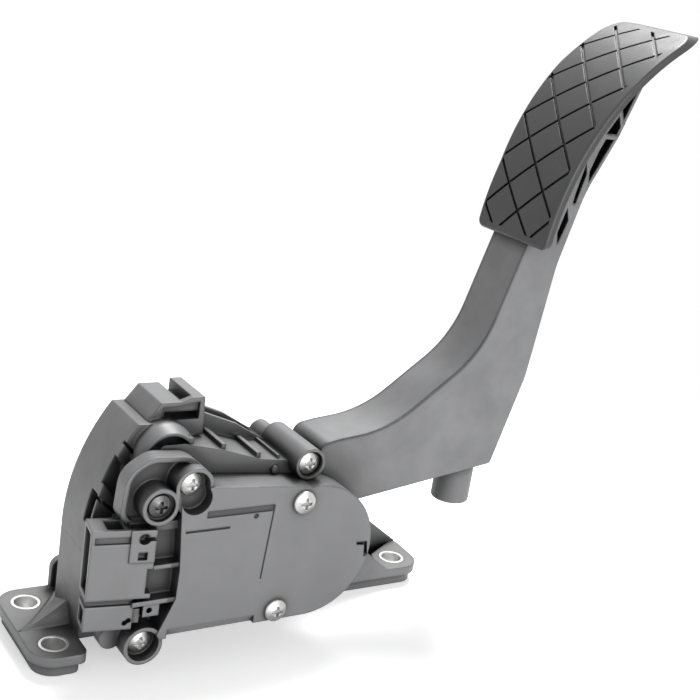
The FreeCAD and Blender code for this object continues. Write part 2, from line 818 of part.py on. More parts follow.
def tread_groove(name, angle, centre_y, skew):
    """Slab through the pad's face at an angle round the pad, turned by the skew on the face."""
    turn, lean = math.radians(angle.number), math.radians(skew.number)
    outwards = FreeCAD.Vector(math.cos(turn), 0, math.sin(turn))
    round_pad = FreeCAD.Vector(-math.sin(turn), 0, math.cos(turn))
    along = FreeCAD.Vector(0, math.cos(lean), 0) + round_pad * math.sin(lean)
    half = d.tread_width / 2
    low, high = d.pad_radius - 10, d.pad_radius + 1
    profile = outline(name + "_profile", [(-half, low), (half, low), (half, high), (-half, high)])
    facing = FreeCAD.Rotation(outwards.cross(along), outwards, along, "ZYX")
    profile.Placement = FreeCAD.Placement(FreeCAD.Vector(), facing)
    place(profile, d.pad_centre_x, centre_y, d.pad_centre_z)
    groove = extrude(name, profile, d.pad_high_width * 1.6)
    groove.Symmetric = True
    return groove


def pad_height(angle):
    return d.pad_centre_z + d.pad_radius * sine(angle)


def pad_window(name, near_low, far_low, near_high, far_high, z_low, z_high, corner):
    """Solid in the +X direction behind an outline of the pad's face that widens upwards."""
    widening_z, widest_z = pad_height(d.tread_low_angle - 8), pad_height(d.tread_low_angle - 33)
    corners = [
        (near_low, z_low, corner / 2),
        (far_low, z_low, corner / 2),
        (far_low, widening_z, 20),
        (far_high, widest_z, 20),
        (far_high, z_high + 0.6, corner),
        (near_high, z_high - 0.8, corner),
    ]
    return prism_x(name, corners, d.heel_x - 20, d.pad_centre_x)


def round_face_edges(plate):
    """Round the edges where the sides of the pad meet its face."""
    doc.recompute()
    rounded = doc.addObject("Part::Fillet", "pad_rounded")
    rounded.Base = plate
    radius = min(d.pad_edge_radius.number, d.pad_thickness.number / 2)
    centre = FreeCAD.Vector(d.pad_centre_x.number, 0, d.pad_centre_z.number)
    edges = []
    for index, edge in enumerate(plate.Shape.Edges, start=1):
        middle = edge.valueAt((edge.FirstParameter + edge.LastParameter) / 2)
        middle.y = 0
        ends = [FreeCAD.Vector(v.Point.x, 0, v.Point.z) for v in edge.Vertexes]
        if all(abs((p - centre).Length - d.pad_radius.number) < 0.01 for p in ends + [middle]):
            edges.append((index, radius, radius))
    rounded.Edges = edges
    return rounded


def make_pad():
    """Curved pad, wider at its upper end, with a tread of diamonds cut by two families of grooves."""
    near, radius, corner = d.pad_near_y, d.pad_radius, d.pad_corner_radius
    far_low, far_high = near + d.pad_low_width, near + d.pad_high_width
    low_z, high_z = pad_height(d.pad_low_angle), pad_height(d.pad_high_angle)
    span = (far_high + 1, near - 1, d.pad_low_angle + 5, d.pad_high_angle - 5)
    front = pad_window("pad_front", near, far_low, near, far_high, low_z, high_z, corner)
    blank = pad_sector("pad_blank", radius, pad_back_radius, *span)
    rounded = round_face_edges(common("pad_plate", blank, front))
    window = pad_window(
        "tread_window",
        near + 1.7,
        far_low - 1.5,
        near + 4.2,
        far_high - 1.3,
        low_z + 3,
        high_z - 1.4,
        corner,
    )
    above = pad_sector("tread_space", radius + 2, radius - d.tread_depth, *span)
    opening = common("tread_opening", above, window)
    field = common("tread_field", rounded, opening)
    pitch = radius * (d.tread_pitch_angle * math.pi / 180)
    rise = pitch * (sine(d.tread_lean) / cosine(d.tread_lean))
    rising, falling = [], []
    for i in range(7):
        angle = d.tread_low_angle + d.tread_pitch_angle * (1 - i)
        centre_y = d.tread_low_y + rise * (i - 1)
        rising.append(tread_groove(f"tread_rising_{i}", angle, centre_y, d.tread_skew + d.tread_lean))
        falling.append(tread_groove(f"tread_falling_{i}", angle, centre_y, d.tread_lean - d.tread_skew))
    tread = cut("tread", cut("tread_rising", field, rising), falling)
    return fuse("pedal_pad", [cut("pad_open", rounded, [opening]), tread])


def revolved(label, profile):
    """Body turned about its own Z axis from a profile of (radius, height) corners."""
    body = doc.addObject("PartDesign::Body", label)
    sketch = outline(label + "_profile", profile)
    body.addObject(sketch)
    plane = [f for f in body.Origin.OriginFeatures if f.Role == "XZ_Plane"][0]
    sketch.AttachmentSupport = [(plane, "")]
    sketch.MapMode = "FlatFace"
    turn = body.newObject("PartDesign::Revolution", label + "_turn")
    turn.Profile = sketch
    turn.ReferenceAxis = (sketch, ["V_Axis"])
    turn.Angle = 360
    body.Tip = turn
    return body


def make_sleeve(name, x, y):
    inner = d.sleeve_bore / 2
    sleeve = revolved(
        f"fixing_sleeve_{name}",
        [(inner, 0), (sleeve_radius, 0), (sleeve_radius, d.foot_height), (inner, d.foot_height)],
    )
    place(sleeve, x, y, 0)
    return sleeve


def make_screw(name):
    """Pan-head screw with a cross recess, its head towards the viewer."""
    x, z, seat = SCREWS[name]
    length = screw_tip_y(name) - seat
    head, height = d.screw_head_radius, d.screw_head_height
    body = revolved(
        name,
        [
            (0, -length),
            (d.screw_radius, -length),
            (d.screw_radius, 0),
            (head, 0),
            (head, height * 0.45, 0.8),
            (head * 0.45, height, 0.8),
            (0, height),
        ],
    )
    arm, half = head * 0.52, size(0.55)
    cross = outline(
        name + "_cross",
        [
            (-arm, -half), (-half, -half), (-half, -arm), (half, -arm), (half, -half), (arm, -half),
            (arm, half), (half, half), (half, arm), (-half, arm), (-half, half), (-arm, half),
        ],
    )
    body.addObject(cross)
    plane = [f for f in body.Origin.OriginFeatures if f.Role == "XY_Plane"][0]
    cross.AttachmentSupport = [(plane, "")]
    cross.MapMode = "FlatFace"
    bind(cross, "AttachmentOffset.Base.z", height)
    recess = body.newObject("PartDesign::Pocket", name + "_recess")
    recess.Profile = cross
    bind(recess, "Length", d.recess_depth)
    body.Tip = recess
    body.Placement = FreeCAD.Placement(FreeCAD.Vector(), TOWARDS_VIEWER)
    place(body, x, seat, z)
    return body


def make_bush(name, y_far):
    inner = shaft_radius + d.running_gap
    bush = revolved(name, [(inner, 0), (bush_radius, 0), (bush_radius, d.wall), (inner, d.wall)])
    bush.Placement = FreeCAD.Placement(FreeCAD.Vector(), TOWARDS_VIEWER)
    place(bush, d.pivot_x, y_far, d.pivot_z)
    return bush


def make_shaft():
    near = board_far_y + 0.8
    length = d.far_wall_y - near
    shaft = revolved(
        "pivot_shaft",
        [(0, 0), (shaft_radius - 0.6, 0), (shaft_radius, 0.6), (shaft_radius, length), (0, length)],
    )
    shaft.Placement = FreeCAD.Placement(FreeCAD.Vector(), TOWARDS_VIEWER)
    place(shaft, d.pivot_x, d.far_wall_y, d.pivot_z)
    return shaft


def make_rotor():
    """Sensor target, a disc with two wings on the near end of the shaft."""
    near = board_far_y + 0.8
    far = near + d.rotor_thickness
    x, z, radius = d.pivot_x, d.pivot_z, d.rotor_radius
    disc = rod_y("rotor_disc", radius * 0.62, x, z, far, near)
    wings = rod_y("rotor_wing_disc", radius, x, z, far, near)
    bar = block("rotor_wing_bar", x - radius - 1, x + radius + 1, near - 1, far + 1, z - 4, z + 4)
    wings = common("rotor_wings", wings, bar)
    bore = rod_y("rotor_bore", shaft_radius, x, z, far + 1, near - 1)
    return cut("sensor_rotor", fuse("rotor_blank", [disc, wings]), [bore])


def coil(name, radius, wire, turns):
    """Coil spring on its seat: round wire along short arcs that follow the helix."""
    rise = (d.spring_top_z - seat_high_z - wire).number
    count = round(turns.number * ARCS_PER_TURN)

    def on_helix(turn):
        angle = 2 * math.pi * turn
        reach = radius.number
        return FreeCAD.Vector(reach * math.cos(angle), reach * math.sin(angle), rise * turn / turns.number)

    arcs = []
    for i in range(count):
        start, end = turns.number * i / count, turns.number * (i + 1) / count
        arcs.append(Part.Arc(on_helix(start), on_helix((start + end) / 2), on_helix(end)).toShape())
    path = Part.Wire(arcs)
    heading = arcs[0].tangentAt(arcs[0].FirstParameter)
    section = Part.Wire([Part.makeCircle(wire.number / 2, on_helix(0), heading)])
    spring = doc.addObject("Part::Feature", name)
    spring.Shape = path.makePipeShell([section], True, True)
    place(spring, nose_x, d.arm_centre_y, seat_high_z + wire / 2)
    return spring


def make_spring_seat():
    seat = revolved(
        "spring_seat",
        [
            (0, 0),
            (d.outer_coil_radius + 1.6, 0),
            (d.outer_coil_radius + 1.6, d.seat_thickness),
            (d.inner_coil_radius - 1.2, d.seat_thickness),
            (d.inner_coil_radius - 1.6, d.seat_thickness + 8),
            (0, d.seat_thickness + 8),
        ],
    )
    place(seat, nose_x, d.arm_centre_y, seat_low_z)
    return seat


def make_stub():
    """Stop stub that hangs from the arm and meets the floor at full travel."""
    low, length = d.stub_low_z, d.stub_seat_z - d.stub_low_z
    top, spigot = length + d.stub_spigot_length, d.stub_spigot_radius
    wide = d.stub_radius
    profile = [(0, 0), (wide, 0, 0.8), (wide, length), (spigot, length), (spigot, top), (0, top)]
    body = revolved("travel_stop_stub", profile)
    place(body, d.stub_x, d.arm_centre_y, low)
    return body


def make_idle_buffer():
    """Rubber buffer on the shoulder of the arm, which rests against the housing boss."""
    low_y, high_y = arm_near_y + d.arm_wall, arm_far_y - d.arm_wall
    low_z, high_z = d.boss_z - 6.5, d.boss_z + 0.4
    return block("idle_stop_buffer", buffer_near_x, shoulder_x, low_y, high_y, low_z, high_z)


def make_shoe():
    """Friction shoe on the end of the lever, a short arc that rubs on the back wall."""
    outer = shoe_radius
    inner = outer - d.shoe_thickness
    far, near = arm_far_y - 2, tail_near_y
    blank = rod_y("shoe_outer", outer, d.pivot_x, d.pivot_z, far, near)
    core = rod_y("shoe_inner", inner, d.pivot_x, d.pivot_z, far + 1, near - 1)
    span = block("shoe_span", 0, 30, near - 2, far + 2, nose_z - 8, nose_z + 5)
    return common("friction_shoe", cut("shoe_ring", blank, [core]), span)


def cover_blank():
    """Outer form of the sensor cover with its screw bosses and the plug socket."""
    x, z = d.pivot_x, d.pivot_z
    plate = prism_y(
        "cover_plate",
        [
            (d.cover_left_x - 4.2, d.cover_bottom_z, 1),
            (x, z - d.cover_end_radius, 0),
            (x + 6, z, 0),
            (x, z + d.cover_end_radius, 0),
            (d.cover_left_x + 10, d.cover_top_z, 3),
            (d.cover_left_x, d.cover_top_z - 4, 0),
            (d.cover_left_x + 2, z, 0),
            (d.cover_left_x + 1.8, size(28), 0),
        ],
        cover_back_y,
        cover_front_y,
    )
    end = rod_y("cover_round_end", d.cover_end_radius, x, z, cover_back_y, cover_front_y)
    left = prism_y(
        "cover_left_field",
        [
            (size(16), d.cover_bottom_z + 1, 2),
            (size(40), d.cover_bottom_z + 1, 0),
            (size(40), size(64), 0),
            (size(16), size(64), 2),
        ],
        cover_back_y,
        cover_back_y - 3,
    )
    recess_floor = block("recess_floor", 22, d.cover_left_x + 3, cover_front_y + 4.9, cover_back_y, 28, 56)
    ribs = [
        block("socket_rib_middle", 20, d.cover_left_x + 2, cover_front_y + 0.6, cover_back_y, 39.6, 41),
        block("socket_rib_low", 18, d.cover_left_x + 2, cover_front_y + 0.6, cover_back_y, 27, 28.6),
        block("socket_rib_high", 20, d.cover_left_x + 1, cover_front_y + 3, cover_back_y, 52, 55),
        block("socket_eye", 22, 27.6, cover_front_y + 0.8, cover_back_y, 22.8, 27),
        rod_y("spare_stub", 4, 14.5, 13.5, cover_back_y, cover_front_y + 6.5),
    ]
    bosses = []
    for name, bore in COUNTERBORES.items():
        sx, sz, _ = SCREWS[name]
        bosses.append(rod_y(f"boss_{name}", bore + d.boss_rim, sx, sz, cover_back_y, cover_front_y + 0.5))
    sx, sz, _ = SCREWS["cover_screw_upper_left"]
    long_radius = COUNTERBORES["cover_screw_upper_left"] + d.boss_rim
    bosses.append(rod_y("boss_long_end", long_radius, sx + 0.9, sz - 4, cover_back_y, cover_front_y + 0.5))
    parts = [plate, end, left, recess_floor, kidney_plate()] + socket_shell() + ribs + bosses
    return fuse("cover_blank", parts)


def kidney_plate():
    """Kidney-shaped field of the cover round its two upper left screws, dished inside a rim."""
    def kidney(name, inset, y_far, y_near):
        corners = [
            (size(17) + inset, size(53) + inset, 2),
            (size(12.6) + inset, size(56.8), 4),
            (size(13.6) + inset, size(70.8), 9 - inset),
            (size(22), size(76.4) - inset, 8),
            (size(35.5), size(75.5) - inset, 9),
            (size(44.6) - inset, size(66.8), 6 - inset),
            (size(44) - inset, size(57), 3),
        ]
        return prism_y(name, corners, y_far, y_near)

    rim_y = cover_front_y + 5
    outer = kidney("kidney_outer", 0, cover_back_y, rim_y)
    dish = kidney("kidney_dish", 1.6, rim_y + 3.2, rim_y - 1)
    return cut("cover_kidney", outer, [dish])


def socket_shell():
    """Body of the plug socket, its lower band and the raised patch beside the cover."""
    length, low, high = d.socket_length, d.socket_low_z, d.socket_high_z
    depth = d.socket_depth
    return [
        socket_block("socket_body", -length, 0, 0, depth, low, high),
        socket_block("socket_web", -length + 0.6, -5, 1.6, depth - 1, low - 3, low + 1),
        socket_block("socket_band", -length, -5, 0.4, depth - 1, d.socket_band_z, low - 2.4),
        socket_block("socket_band_end", -5.2, -2.5, 1.4, depth - 1, d.socket_band_z + 1.6, low - 4.4),
        socket_block("socket_patch", -8.1, 0, -0.4, 1, high - 11.2, high),
    ]


def socket_openings():
    """Plug cavity, the two windows over it, and the slots and holes of the socket's front."""
    length, low, high, wall = d.socket_length, d.socket_low_z, d.socket_high_z, d.socket_wall
    mouth, cavity_end = -length - 1, d.socket_cavity_length - length
    far = d.socket_depth - wall
    window_z = high - wall - 0.4
    band_low, band_high = d.socket_band_z + wall, low - 2.4 - wall
    return [
        socket_block("socket_cavity", mouth, cavity_end, wall, far, low + wall, high - wall),
        socket_block("socket_band_hollow", mouth, -12, wall + 0.4, far - 1, band_low, band_high),
        socket_block("top_window_left", -15.6, -9.9, 1.2, far, window_z, high + 1),
        socket_block("top_window_right", -8.8, -1.4, 1.2, far, window_z, high + 1),
        socket_block("front_groove", 1.2 - length, -8.1, -1, 0.9, high - 4.7, high - 2.3),
        socket_block("patch_slot", -2.2, 1, -1, 2.2, high - 3.8, high - 2.4),
        socket_block("patch_notch", -5.4, -2.4, -1, 1.6, high - 10.4, high - 7.6),
        socket_block("end_slot", -1.9, 0.4, -1, 4, low + 1.6, low + 10.4),
        rod_y("patch_hole", 1.9, 19.8, high - 3.1, cover_front_y + 3.4, cover_front_y - 2),
        rod_y("band_hole_left", 0.9, 16.4, 21.3, cover_front_y + 4, cover_front_y - 1),
        rod_y("band_hole_right", 0.9, 17.6, 22.1, cover_front_y + 4, cover_front_y - 1),
        rod_y("eye_hole", 1, 24.2, 25, cover_front_y + 5, cover_front_y - 1),
    ]


def cover_cavity():
    x, z = d.pivot_x, d.pivot_z
    skin = d.cover_skin
    room = prism_y(
        "cover_room_left",
        [
            (d.cover_left_x + 6, d.cover_bottom_z + 6),
            (size(62), d.cover_bottom_z + 6),
            (size(62), d.cover_top_z - 12),
            (d.cover_left_x + 6, d.cover_top_z - 12),
        ],
        cover_back_y + 1,
        cover_front_y + skin,
    )
    disc = rod_y("cover_room_round", d.cover_end_radius - 9.5, x, z, cover_back_y + 1, cover_front_y + skin)
    link = block("cover_room_link", 55, x, cover_front_y + skin, cover_back_y + 1, z - 12, z + 12)
    return fuse("cover_room", [room, disc, link])


def connector_pins():
    """Six contact pins, from the socket to the edge of the circuit board."""
    pins = []
    middle = (d.socket_low_z + d.socket_high_z) / 2
    near, far, right = board_near_y - d.pin_size, board_near_y, d.cover_left_x + 10
    half = d.pin_size / 2
    for i in range(6):
        z = middle + d.pin_pitch * (i - 2.5)
        pins.append(block(f"pin_{i}", 8.3, right, near, far, z - half, z + half))
    return fuse("connector_pins", pins)


def cover_lines():
    """Grooves, step line, dot, corner notch and lower bevel of the cover's front."""
    front, depth = cover_front_y, d.groove_depth
    step = [(64.8, 58), (65.4, 58), (63.7, 31), (63.1, 31)]
    notch = [(100.4, 40.1), (104.8, 39.7), (105.8, 34), (104.3, 34), (103.7, 38.5), (100.5, 38.9)]
    bevel = [(front - 1, size(19.2)), (front - 1, size(12)), (front + 3.2, size(12))]
    return [
        block("cover_groove_long", 40.5, 65, front - 1, front + depth, 55.9, 58.3),
        block("cover_groove_short", 33.5, 49.3, front - 1, front + depth, 51.3, 52.1),
        rod_y("cover_dot", 0.9, 58.6, 54.7, front + depth, front - 1),
        prism_y("cover_step_line", [(size(x), size(z)) for x, z in step], front + depth / 2, front - 1),
        prism_y("cover_corner_notch", [(size(x), size(z)) for x, z in notch], front + 1.5, front - 1),
        prism_x("cover_bevel", bevel, 31, 63),
    ]


def make_cover(pins):
    skin = d.cover_skin
    far, near = cover_back_y + 1, cover_front_y - 1
    tools = [cover_cavity()] + socket_openings() + cover_lines()
    for name, (x, z, seat) in SCREWS.items():
        if name == "housing_boss_screw":
            continue
        hole = d.screw_radius + d.screw_clearance
        tools.append(rod_y(f"clearance_{name}", hole, x, z, far, near))
        if name in COUNTERBORES:
            bore = COUNTERBORES[name]
            tools.append(rod_y(f"counterbore_{name}", bore, x, z, seat, near))
    x, z, seat = SCREWS["cover_screw_upper_left"]
    bore = COUNTERBORES["cover_screw_upper_left"]
    tools.append(rod_y("counterbore_long_end", bore, x + 0.9, z - 4, seat, near))
    notch_radius = d.boss_radius + d.side_gap
    tools.append(rod_y("cover_boss_notch", notch_radius, d.boss_x, d.boss_z, far, near))
    tools.append(pins)
    body = cut("cover_open", cover_blank(), tools)
    posts = []
    for i, (x, z) in enumerate(((46, 24), (46, 50), (59, 24), (59, 50))):
        posts.append(rod_y(f"board_post_{i}", 1.8, x, z, board_near_y, cover_front_y + skin - 0.5))
    return fuse("sensor_cover", [body] + posts)


def make_board():
    near, far = board_near_y, board_far_y
    low_z, high_z = d.cover_bottom_z + 7, d.cover_top_z - 13
    board = block("board_left", d.cover_left_x + 7, 61.5, near, far, low_z, high_z)
    disc = rod_y("board_round", d.cover_end_radius - 10.5, d.pivot_x, d.pivot_z, far, near)
    link = block("board_link", 60, d.pivot_x, near, far, d.pivot_z - 11, d.pivot_z + 11)
    return fuse("circuit_board", [board, disc, link])


def make_seal():
    """Flat gasket between the cover and the housing."""
    x, z = d.pivot_x, d.pivot_z
    near, far = cover_back_y, d.near_wall_y
    field = prism_y(
        "seal_field",
        [
            (d.cover_left_x + 3, d.cover_bottom_z + 3),
            (x, z - d.cover_end_radius + 3),
            (x, z + d.cover_end_radius - 3),
            (d.cover_left_x + 3, d.cover_top_z - 8),
        ],
        far,
        near,
    )
    end = rod_y("seal_end", d.cover_end_radius - 3, x, z, far, near)
    inner_end = rod_y("seal_inner_end", d.cover_end_radius - 6, x, z, far + 1, near - 1)
    inner = prism_y(
        "seal_inner",
        [
            (d.cover_left_x + 5.5, d.cover_bottom_z + 5.5),
            (x, z - d.cover_end_radius + 6),
            (x, z + d.cover_end_radius - 6),
            (d.cover_left_x + 5.5, d.cover_top_z - 10.5),
        ],
        far + 1,
        near - 1,
    )
    ring = cut("seal_ring", fuse("seal_blank", [field, end]), [inner, inner_end])
    eyes, screw_holes = [], []
    for name in ("cover_screw_upper_right", "cover_screw_lower_right"):
        sx, sz, _ = SCREWS[name]
        eyes.append(rod_y(f"seal_eye_{name}", d.screw_radius + 2.4, sx, sz, far, near))
        screw_holes.append(rod_y(f"seal_hole_{name}", d.screw_radius + 0.6, sx, sz, far + 1, near - 1))
    notch = rod_y("seal_boss_notch", d.boss_radius + d.side_gap, d.boss_x, d.boss_z, far + 1, near - 1)
    return cut("cover_seal", fuse("seal_with_eyes", [ring] + eyes), screw_holes + [notch])


pins = connector_pins()
nodes = [make_housing(), make_arm(), make_pad(), make_cover(pins), pins, make_board(), make_seal()]
nodes += [make_sleeve(name, x, y) for name, (x, y) in holes.items()]
nodes += [make_screw(name) for name in SCREWS]
nodes += [make_bush("pivot_bush_near", near_inner_y), make_bush("pivot_bush_far", d.far_wall_y)]
nodes += [make_shaft(), make_rotor(), make_spring_seat(), make_stub(), make_shoe()]
nodes.append(make_idle_buffer())
nodes.append(coil("return_spring_outer", d.outer_coil_radius, d.outer_wire, d.outer_turns))
nodes.append(coil("return_spring_inner", d.inner_coil_radius, d.inner_wire, d.inner_turns))
doc.recompute()

for obj in doc.Objects:
    if "Invalid" in obj.State or "Error" in obj.State:
        raise ValueError(f"{obj.Name} failed: {obj.State}")
os.makedirs("parts", exist_ok=True)
for node in nodes:
    shape = node.Shape
    if shape.isNull() or not shape.isValid():
        raise ValueError(f"{node.Label} has no valid shape")
    shape.exportStep(f"parts/{node.Label}.step")
    print(f"{node.Label}: {len(shape.Solids)} solid, {shape.Volume / 1000:.2f} cm3")
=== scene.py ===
import math

import bmesh
import bpy
from mathutils import Matrix, Vector


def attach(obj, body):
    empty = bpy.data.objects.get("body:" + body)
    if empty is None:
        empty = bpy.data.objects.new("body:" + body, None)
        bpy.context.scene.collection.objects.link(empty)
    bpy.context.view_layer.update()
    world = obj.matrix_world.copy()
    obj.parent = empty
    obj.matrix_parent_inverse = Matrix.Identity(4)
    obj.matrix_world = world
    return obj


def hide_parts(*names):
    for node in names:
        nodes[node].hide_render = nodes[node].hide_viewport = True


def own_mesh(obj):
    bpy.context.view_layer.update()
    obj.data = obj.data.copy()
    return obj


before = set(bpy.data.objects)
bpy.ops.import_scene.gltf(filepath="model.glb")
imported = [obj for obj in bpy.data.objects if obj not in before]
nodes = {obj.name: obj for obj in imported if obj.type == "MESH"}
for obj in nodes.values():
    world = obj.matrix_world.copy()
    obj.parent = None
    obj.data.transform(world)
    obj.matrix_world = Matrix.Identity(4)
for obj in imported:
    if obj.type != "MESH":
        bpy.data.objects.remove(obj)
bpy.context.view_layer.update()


# Shader helpers
def new_material(name):
    """Material with its node tree and its main shader."""
    material = bpy.data.materials.new(name)
    material.use_nodes = True
    tree = material.node_tree
    shader = tree.nodes["Principled BSDF"]
    return material, tree, shader


def noise(tree, scale, detail=2.0, roughness=0.5, stretch=(1, 1, 1)):
    """Noise over the object's own coordinates, in metres."""
    coords = tree.nodes.new("ShaderNodeTexCoord")
    mapping = tree.nodes.new("ShaderNodeMapping")
    mapping.inputs["Scale"].default_value = stretch
    texture = tree.nodes.new("ShaderNodeTexNoise")
    texture.inputs["Scale"].default_value = scale
    texture.inputs["Detail"].default_value = detail
    texture.inputs["Roughness"].default_value = roughness
    tree.links.new(coords.outputs["Object"], mapping.inputs["Vector"])
    tree.links.new(mapping.outputs["Vector"], texture.inputs["Vector"])
    return texture.outputs["Fac"]


def ramp(tree, factor, stops):
    """Colour ramp over a factor: stops are (position, grey or colour)."""
    node = tree.nodes.new("ShaderNodeValToRGB")
    elements = node.color_ramp.elements
    while len(elements) < len(stops):
        elements.new(0.5)
    for element, (position, value) in zip(elements, stops):
        element.position = position
        rgb = (value, value, value) if isinstance(value, float) else value
        element.color = (*rgb, 1)
    tree.links.new(factor, node.inputs["Fac"])
    return node.outputs["Color"]


def rounded_normal(tree, radius):
    """Normal that runs round sharp edges as if they had this radius."""
    bevel = tree.nodes.new("ShaderNodeBevel")
    bevel.samples = 6
    bevel.inputs["Radius"].default_value = radius
    return bevel.outputs["Normal"]


def bump(tree, height, distance, strength, normal):
    """Normal roughened by a height pattern."""
    node = tree.nodes.new("ShaderNodeBump")
    node.inputs["Distance"].default_value = distance
    node.inputs["Strength"].default_value = strength
    tree.links.new(height, node.inputs["Height"])
    tree.links.new(normal, node.inputs["Normal"])
    return node.outputs["Normal"]


def tint(colour, factor):
    """Colour made lighter or darker by a factor."""
    return tuple(min(1.0, channel * factor) for channel in colour)


def multiply(tree, first, second):
    """Product of two colours."""
    node = tree.nodes.new("ShaderNodeMix")
    node.data_type = "RGBA"
    node.blend_type = "MULTIPLY"
    node.inputs["Factor"].default_value = 1.0
    tree.links.new(first, node.inputs["A"])
    tree.links.new(second, node.inputs["B"])
    return node.outputs["Result"]


def combine(tree, operation, first, second):
    """One number from two, where the second may be a plain number."""
    node = tree.nodes.new("ShaderNodeMath")
    node.operation = operation
    tree.links.new(first, node.inputs[0])
    if isinstance(second, float):
        node.inputs[1].default_value = second
    else:
        tree.links.new(second, node.inputs[1])
    return node.outputs["Value"]


def mix_shaders(tree, factor, first, second):
    """First shader at factor 0, second at 1."""
    node = tree.nodes.new("ShaderNodeMixShader")
    tree.links.new(factor, node.inputs["Fac"])
    tree.links.new(first, node.inputs[1])
    tree.links.new(second, node.inputs[2])
    return node.outputs["Shader"]


def hollow_shade(tree, reach, stops):
    """Painted shade: grey that falls in recesses narrower than the reach."""
    openness = tree.nodes.new("ShaderNodeAmbientOcclusion")
    openness.samples = 8
    openness.inputs["Distance"].default_value = reach
    return ramp(tree, openness.outputs["AO"], stops)


def upper_edge_shade(tree, radius, darkest):
    """Painted shade: grey that falls along edges whose rounding faces up."""
    soft = rounded_normal(tree, radius)
    flat = tree.nodes.new("ShaderNodeNewGeometry").outputs["True Normal"]
    agreement = tree.nodes.new("ShaderNodeVectorMath")
    agreement.operation = "DOT_PRODUCT"
    tree.links.new(soft, agreement.inputs[0])
    tree.links.new(flat, agreement.inputs[1])
    on_edge = ramp(tree, agreement.outputs["Value"], [(0.9, 1.0), (0.995, 0.0)])
    parts = tree.nodes.new("ShaderNodeSeparateXYZ")
    tree.links.new(soft, parts.inputs["Vector"])
    faces_up = ramp(tree, parts.outputs["Z"], [(0.1, 0.0), (0.3, 1.0)])
    return ramp(tree, multiply(tree, on_edge, faces_up), [(0.0, 1.0), (1.0, darkest)])


def box_shade(tree, low, high, soft, darkest):
    """Painted shade: dark grey inside a box of the object's own space, soft at its sides, in metres."""
    coords = tree.nodes.new("ShaderNodeTexCoord")
    parts = tree.nodes.new("ShaderNodeSeparateXYZ")
    tree.links.new(coords.outputs["Object"], parts.inputs["Vector"])
    inside = None
    for axis, start, end in zip("XYZ", low, high):
        span = tree.nodes.new("ShaderNodeMapRange")
        span.inputs["From Min"].default_value = start - soft
        span.inputs["From Max"].default_value = end + soft
        tree.links.new(parts.outputs[axis], span.inputs["Value"])
        edge = soft / (end - start + 2 * soft)
        stops = [(0.0, 0.0), (edge, 1.0), (1 - edge, 1.0), (1.0, 0.0)]
        within = ramp(tree, span.outputs["Result"], stops)
        inside = within if inside is None else multiply(tree, inside, within)
    return ramp(tree, inside, [(0.0, 1.0), (1.0, darkest)])


# Painted shade in recesses: reach in metres, then grey against openness
PAINTED_SHADE_NARROW = (0.005, [(0.35, 0.05), (0.8, 0.45), (0.97, 1.0)])
PAINTED_SHADE_WIDE = (0.022, [(0.3, 0.1), (0.75, 0.6), (0.96, 1.0)])
# Radius of the painted shade along upper edges
UPPER_EDGE_SHADE_RADIUS = 0.0026


# Materials
def moulded_plastic(name, colour, roughness, grain, cloud, edge, shine=0.7, edge_shade=1.0, painted_shade_boxes=()):
    """Moulded plastic: faint clouds of flow, a fine mould grain, painted shade in recesses, along upper edges
    and in boxes when asked, and soft edges.
    """
    material, tree, shader = new_material(name)
    cloud_low, cloud_high = tint(colour, 1 - cloud), tint(colour, 1 + cloud)
    flow = noise(tree, scale=60, detail=3, roughness=0.6)
    clouds_and_painted_shade = ramp(tree, flow, [(0.3, cloud_low), (0.7, cloud_high)])
    # Painted shade in narrow and wide recesses
    for reach, stops in (PAINTED_SHADE_NARROW, PAINTED_SHADE_WIDE):
        clouds_and_painted_shade = multiply(tree, clouds_and_painted_shade, hollow_shade(tree, reach, stops))
    # Painted shade along edges whose rounding faces up
    if edge_shade < 1:
        clouds_and_painted_shade = multiply(tree, clouds_and_painted_shade, upper_edge_shade(tree, UPPER_EDGE_SHADE_RADIUS, edge_shade))
    # Painted shade inside the given boxes
    for low, high, soft, darkest in painted_shade_boxes:
        clouds_and_painted_shade = multiply(tree, clouds_and_painted_shade, box_shade(tree, low, high, soft, darkest))
    tree.links.new(clouds_and_painted_shade, shader.inputs["Base Color"])
    wear = noise(tree, scale=140, detail=2)
    rough = ramp(tree, wear, [(0.3, roughness - 0.05), (0.7, roughness + 0.06)])
    tree.links.new(rough, shader.inputs["Roughness"])
    grain_height = noise(tree, scale=2600, detail=2, roughness=0.6)
    soft = rounded_normal(tree, edge)
    grained = bump(tree, grain_height, distance=0.00006, strength=grain, normal=soft)
    tree.links.new(grained, shader.inputs["Normal"])
    shader.inputs["Specular IOR Level"].default_value = shine
    return material


def plated_steel(name, colour, roughness, stretch=(1, 1, 1)):
    """Plated metal with fine turning marks and slightly uneven plating."""
    material, tree, shader = new_material(name)
    shader.inputs["Metallic"].default_value = 1.0
    plating = noise(tree, scale=500, detail=3)
    tone = ramp(tree, plating, [(0.3, tint(colour, 0.85)), (0.7, tint(colour, 1.06))])
    tree.links.new(tone, shader.inputs["Base Color"])
    wear = noise(tree, scale=900, detail=2)
    rough = ramp(tree, wear, [(0.3, roughness - 0.06), (0.7, roughness + 0.08)])
    tree.links.new(rough, shader.inputs["Roughness"])
    marks = noise(tree, scale=1800, detail=1, stretch=stretch)
    soft = rounded_normal(tree, radius=0.00025)
    marked = bump(tree, marks, distance=0.00003, strength=0.5, normal=soft)
    tree.links.new(marked, shader.inputs["Normal"])
    return material


